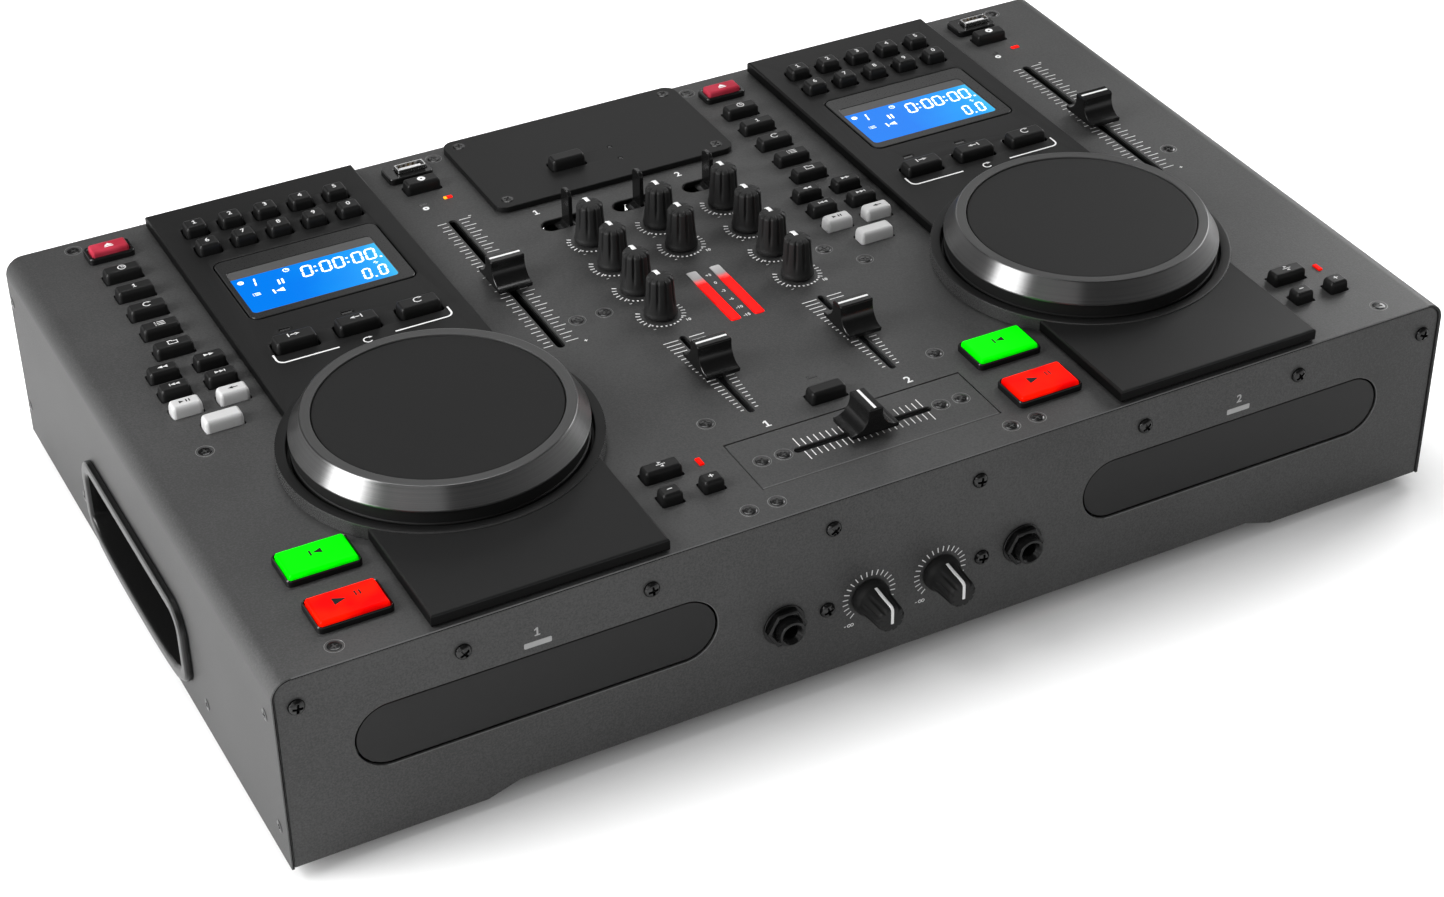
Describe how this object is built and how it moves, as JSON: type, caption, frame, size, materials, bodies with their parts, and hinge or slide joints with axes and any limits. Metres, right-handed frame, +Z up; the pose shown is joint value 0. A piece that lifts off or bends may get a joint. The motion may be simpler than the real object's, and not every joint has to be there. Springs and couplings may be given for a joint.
{
  "type": "dj disc player and mixer console",
  "caption": "Tabletop disc player and mixer console with jog wheels, disc trays, sliding faders, turning knobs, lever switches, lit keys and side cup handles.",
  "frame": {"origin": "centre of the overall box, on the plane under the feet", "axes": "+X to the user's right along the console, +Y away from the user to the rear panel, +Z up"},
  "size_m": [0.5516, 0.36, 0.1189],
  "materials": {
    "cover_paint": "fine textured dark grey powder coat",
    "panel_paint": "smooth dark grey paint",
    "black_plastic": "satin black moulding",
    "key_black": "satin black moulding",
    "cue_green": "lit clear green cap",
    "play_red": "lit clear red cap",
    "eject_red": "clear dark red cap",
    "jog_metal": "dark turned metal rim with a matt black pad",
    "bright_metal": "bare zinc-plated sheet",
    "board_green": "circuit board with its components"
  },
  "bodies": {
    "case": {"base_plate": "panel_paint", "crossfader_plate": "cover_paint", "deck_bezel_left": "black_plastic", "deck_bezel_right": "black_plastic", "disc_drive_left": "bright_metal", "disc_drive_right": "bright_metal", "display_board_left": "board_green", "display_board_right": "board_green", "front_board": "board_green", "front_panel": "panel_paint", "handle_left": "black_plastic", "handle_right": "black_plastic", "line_sockets": "board_green", "mixer_board": "board_green", "module_plate": "black_plastic", "power_inlet": "key_black", "power_supply": "board_green", "rear_panel": "panel_paint", "top_cover": "cover_paint"},
    "jog_wheel_left": {"jog_wheel_left": "jog_metal"},
    "jog_wheel_right": {"jog_wheel_right": "jog_metal"},
    "disc_tray_left": {"disc_tray_left": "black_plastic"},
    "disc_tray_right": {"disc_tray_right": "black_plastic"},
    "pitch_fader_left": {"pitch_fader_left": "key_black"},
    "pitch_fader_right": {"pitch_fader_right": "key_black"},
    "channel_fader_left": {"channel_fader_left": "key_black"},
    "channel_fader_right": {"channel_fader_right": "key_black"},
    "crossfader": {"crossfader": "key_black"},
    "level_knob_left": {"level_knob_left": "key_black"},
    "high_knob_left": {"high_knob_left": "key_black"},
    "mid_knob_left": {"mid_knob_left": "key_black"},
    "low_knob_left": {"low_knob_left": "key_black"},
    "level_knob_right": {"level_knob_right": "key_black"},
    "high_knob_right": {"high_knob_right": "key_black"},
    "mid_knob_right": {"mid_knob_right": "key_black"},
    "low_knob_right": {"low_knob_right": "key_black"},
    "cue_mix_knob": {"cue_mix_knob": "key_black"},
    "master_knob": {"master_knob": "key_black"},
    "microphone_level_knob": {"microphone_level_knob": "key_black"},
    "cue_level_knob": {"cue_level_knob": "key_black"},
    "toggle_left": {"toggle_left": "key_black"},
    "toggle_centre": {"toggle_centre": "key_black"},
    "toggle_right": {"toggle_right": "key_black"},
    "power_switch": {"power_switch": "key_black"},
    "cue_button_left": {"cue_button_left": "cue_green"},
    "play_button_left": {"play_button_left": "play_red"},
    "eject_button_left": {"eject_button_left": "eject_red"},
    "source_key_left": {"source_key_left": "key_black"},
    "cue_button_right": {"cue_button_right": "cue_green"},
    "play_button_right": {"play_button_right": "play_red"},
    "eject_button_right": {"eject_button_right": "eject_red"},
    "source_key_right": {"source_key_right": "key_black"},
    "pairing_key": {"pairing_key": "key_black"},
    "fader_start_key": {"fader_start_key": "key_black"},
    "number_keys_left": {"number_keys_left": "key_black"},
    "column_keys_left": {"column_keys_left": "key_black"},
    "pitch_keys_left": {"pitch_keys_left": "key_black"},
    "number_keys_right": {"number_keys_right": "key_black"},
    "column_keys_right": {"column_keys_right": "key_black"},
    "pitch_keys_right": {"pitch_keys_right": "key_black"}
  },
  "joints": [
    {"name": "jog_wheel_left_spin", "type": "hinge", "parent": "case", "child": "jog_wheel_left", "pos_m": [-0.157, -0.0548, 0.098], "axis": [0, 0, 1], "continuous": true},
    {"name": "jog_wheel_right_spin", "type": "hinge", "parent": "case", "child": "jog_wheel_right", "pos_m": [0.1534, -0.0548, 0.098], "axis": [0, 0, 1], "continuous": true},
    {"name": "disc_tray_left_slide", "type": "slide", "parent": "case", "child": "disc_tray_left", "axis": [0, -1, 0], "range_m": [0, 0.135]},
    {"name": "disc_tray_right_slide", "type": "slide", "parent": "case", "child": "disc_tray_right", "axis": [0, -1, 0], "range_m": [0, 0.135]},
    {"name": "pitch_fader_left_slide", "type": "slide", "parent": "case", "child": "pitch_fader_left", "axis": [0, 1, 0], "range_m": [-0.0548, 0.0572]},
    {"name": "pitch_fader_right_slide", "type": "slide", "parent": "case", "child": "pitch_fader_right", "axis": [0, 1, 0], "range_m": [-0.0548, 0.0572]},
    {"name": "channel_fader_left_slide", "type": "slide", "parent": "case", "child": "channel_fader_left", "axis": [0, 1, 0], "range_m": [-0.0344, 0.0254]},
    {"name": "channel_fader_right_slide", "type": "slide", "parent": "case", "child": "channel_fader_right", "axis": [0, 1, 0], "range_m": [-0.0329, 0.0269]},
    {"name": "crossfader_slide", "type": "slide", "parent": "case", "child": "crossfader", "axis": [1, 0, 0], "range_m": [-0.0307, 0.0283]},
    {"name": "level_knob_left_turn", "type": "hinge", "parent": "case", "child": "level_knob_left", "pos_m": [-0.034, 0.0612, 0.098], "axis": [0, 0, 1], "range_deg": [-140, 140]},
    {"name": "high_knob_left_turn", "type": "hinge", "parent": "case", "child": "high_knob_left", "pos_m": [-0.034, 0.0378, 0.098], "axis": [0, 0, 1], "range_deg": [-140, 140]},
    {"name": "mid_knob_left_turn", "type": "hinge", "parent": "case", "child": "mid_knob_left", "pos_m": [-0.034, 0.0144, 0.098], "axis": [0, 0, 1], "range_deg": [-140, 140]},
    {"name": "low_knob_left_turn", "type": "hinge", "parent": "case", "child": "low_knob_left", "pos_m": [-0.034, -0.009, 0.098], "axis": [0, 0, 1], "range_deg": [-140, 140]},
    {"name": "level_knob_right_turn", "type": "hinge", "parent": "case", "child": "level_knob_right", "pos_m": [0.034, 0.0612, 0.098], "axis": [0, 0, 1], "range_deg": [-140, 140]},
    {"name": "high_knob_right_turn", "type": "hinge", "parent": "case", "child": "high_knob_right", "pos_m": [0.034, 0.0378, 0.098], "axis": [0, 0, 1], "range_deg": [-140, 140]},
    {"name": "mid_knob_right_turn", "type": "hinge", "parent": "case", "child": "mid_knob_right", "pos_m": [0.034, 0.0144, 0.098], "axis": [0, 0, 1], "range_deg": [-140, 140]},
    {"name": "low_knob_right_turn", "type": "hinge", "parent": "case", "child": "low_knob_right", "pos_m": [0.034, -0.009, 0.098], "axis": [0, 0, 1], "range_deg": [-140, 140]},
    {"name": "cue_mix_knob_turn", "type": "hinge", "parent": "case", "child": "cue_mix_knob", "pos_m": [0, 0.0598, 0.098], "axis": [0, 0, 1], "range_deg": [-140, 140]},
    {"name": "master_knob_turn", "type": "hinge", "parent": "case", "child": "master_knob", "pos_m": [0, 0.0378, 0.098], "axis": [0, 0, 1], "range_deg": [-140, 140]},
    {"name": "microphone_level_knob_turn", "type": "hinge", "parent": "case", "child": "microphone_level_knob", "pos_m": [-0.0172, -0.161, 0.043], "axis": [0, -1, 0], "range_deg": [-140, 140]},
    {"name": "cue_level_knob_turn", "type": "hinge", "parent": "case", "child": "cue_level_knob", "pos_m": [0.0168, -0.161, 0.043], "axis": [0, -1, 0], "range_deg": [-140, 140]},
    {"name": "toggle_left_tilt", "type": "hinge", "parent": "case", "child": "toggle_left", "pos_m": [-0.0361, 0.0815, 0.078], "axis": [0, 1, 0], "range_deg": [-20, 20]},
    {"name": "toggle_centre_tilt", "type": "hinge", "parent": "case", "child": "toggle_centre", "pos_m": [0, 0.0815, 0.078], "axis": [0, 1, 0], "range_deg": [-20, 20]},
    {"name": "toggle_right_tilt", "type": "hinge", "parent": "case", "child": "toggle_right", "pos_m": [0.0361, 0.0815, 0.078], "axis": [0, 1, 0], "range_deg": [-20, 20]},
    {"name": "power_switch_rock", "type": "hinge", "parent": "case", "child": "power_switch", "pos_m": [-0.1915, 0.17, 0.047], "axis": [-1, 0, 0], "range_deg": [0, 16]},
    {"name": "cue_button_left_press", "type": "slide", "parent": "case", "child": "cue_button_left", "axis": [0, 0, -1], "range_m": [0, 0.0012], "stiffness_N_per_m": 400, "springref_m": -0.0015},
    {"name": "play_button_left_press", "type": "slide", "parent": "case", "child": "play_button_left", "axis": [0, 0, -1], "range_m": [0, 0.0012], "stiffness_N_per_m": 400, "springref_m": -0.0015},
    {"name": "eject_button_left_press", "type": "slide", "parent": "case", "child": "eject_button_left", "axis": [0, 0, -1], "range_m": [0, 0.0012], "stiffness_N_per_m": 400, "springref_m": -0.0015},
    {"name": "source_key_left_press", "type": "slide", "parent": "case", "child": "source_key_left", "axis": [0, 0, -1], "range_m": [0, 0.0012], "stiffness_N_per_m": 400, "springref_m": -0.0015},
    {"name": "cue_button_right_press", "type": "slide", "parent": "case", "child": "cue_button_right", "axis": [0, 0, -1], "range_m": [0, 0.0012], "stiffness_N_per_m": 400, "springref_m": -0.0015},
    {"name": "play_button_right_press", "type": "slide", "parent": "case", "child": "play_button_right", "axis": [0, 0, -1], "range_m": [0, 0.0012], "stiffness_N_per_m": 400, "springref_m": -0.0015},
    {"name": "eject_button_right_press", "type": "slide", "parent": "case", "child": "eject_button_right", "axis": [0, 0, -1], "range_m": [0, 0.0012], "stiffness_N_per_m": 400, "springref_m": -0.0015},
    {"name": "source_key_right_press", "type": "slide", "parent": "case", "child": "source_key_right", "axis": [0, 0, -1], "range_m": [0, 0.0012], "stiffness_N_per_m": 400, "springref_m": -0.0015},
    {"name": "pairing_key_press", "type": "slide", "parent": "case", "child": "pairing_key", "axis": [0, 0, -1], "range_m": [0, 0.0012], "stiffness_N_per_m": 400, "springref_m": -0.0015},
    {"name": "fader_start_key_press", "type": "slide", "parent": "case", "child": "fader_start_key", "axis": [0, 0, -1], "range_m": [0, 0.0012], "stiffness_N_per_m": 400, "springref_m": -0.0015},
    {"name": "number_keys_left_press", "type": "slide", "parent": "case", "child": "number_keys_left", "axis": [0, 0, -1], "range_m": [0, 0.0012], "stiffness_N_per_m": 400, "springref_m": -0.0015},
    {"name": "column_keys_left_press", "type": "slide", "parent": "case", "child": "column_keys_left", "axis": [0, 0, -1], "range_m": [0, 0.0012], "stiffness_N_per_m": 400, "springref_m": -0.0015},
    {"name": "pitch_keys_left_press", "type": "slide", "parent": "case", "child": "pitch_keys_left", "axis": [0, 0, -1], "range_m": [0, 0.0012], "stiffness_N_per_m": 400, "springref_m": -0.0015},
    {"name": "number_keys_right_press", "type": "slide", "parent": "case", "child": "number_keys_right", "axis": [0, 0, -1], "range_m": [0, 0.0012], "stiffness_N_per_m": 400, "springref_m": -0.0015},
    {"name": "column_keys_right_press", "type": "slide", "parent": "case", "child": "column_keys_right", "axis": [0, 0, -1], "range_m": [0, 0.0012], "stiffness_N_per_m": 400, "springref_m": -0.0015},
    {"name": "pitch_keys_right_press", "type": "slide", "parent": "case", "child": "pitch_keys_right", "axis": [0, 0, -1], "range_m": [0, 0.0012], "stiffness_N_per_m": 400, "springref_m": -0.0015}
  ]
}
